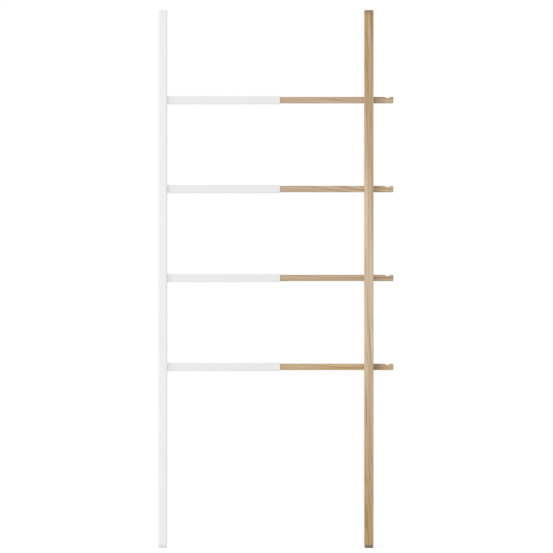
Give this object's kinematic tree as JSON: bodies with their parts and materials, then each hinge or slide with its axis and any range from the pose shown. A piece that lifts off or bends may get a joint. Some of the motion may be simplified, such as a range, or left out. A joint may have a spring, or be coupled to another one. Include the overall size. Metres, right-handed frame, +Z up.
{
  "type": "towel ladder",
  "caption": "Leaning towel ladder whose wooden bars slide in white square sleeves to set its width, with notched hook tails beyond the wooden stile.",
  "frame": {"origin": "on the floor, at the middle of the full width and depth, with the ladder upright", "axes": "+Z up along the stiles, +X from the white stile towards the wooden stile and its hooks, +Y back towards the wall"},
  "size_m": [0.8074, 0.0485, 1.843],
  "materials": {
    "white_lacquer": "satin lacquer",
    "white_coat": "satin powder coat",
    "natural_wood": "clear matte oil",
    "block_wood": "raw",
    "nylon": "moulded",
    "white_plastic": "moulded",
    "zinc_steel": "zinc plated",
    "brass": "turned",
    "white_rubber": "matte",
    "brown_rubber": "matte"
  },
  "bodies": {
    "left_frame": {"left_stile": "white_lacquer", "sleeve_1": "white_coat", "sleeve_2": "white_coat", "sleeve_3": "white_coat", "sleeve_4": "white_coat", "guide_bush_1": "nylon", "guide_bush_2": "nylon", "guide_bush_3": "nylon", "guide_bush_4": "nylon", "root_block_1": "block_wood", "root_block_2": "block_wood", "root_block_3": "block_wood", "root_block_4": "block_wood", "threaded_inserts": "brass", "sleeve_bolts": "zinc_steel", "bolt_caps": "white_plastic", "locating_dowels": "block_wood", "left_foot_pad": "white_rubber", "left_wall_pad": "white_rubber"},
    "right_frame": {"right_stile": "natural_wood", "rung_bar_1": "natural_wood", "rung_bar_2": "natural_wood", "rung_bar_3": "natural_wood", "rung_bar_4": "natural_wood", "end_glide_1": "nylon", "end_glide_2": "nylon", "end_glide_3": "nylon", "end_glide_4": "nylon", "stop_pins": "zinc_steel", "glide_screws": "zinc_steel", "rung_screws": "zinc_steel", "right_foot_pad": "brown_rubber", "right_wall_pad": "brown_rubber"}
  },
  "joints": [
    {"name": "width_slide", "type": "slide", "parent": "left_frame", "child": "right_frame", "axis": [1, 0, 0], "range_m": [-0.203, 0]}
  ]
}
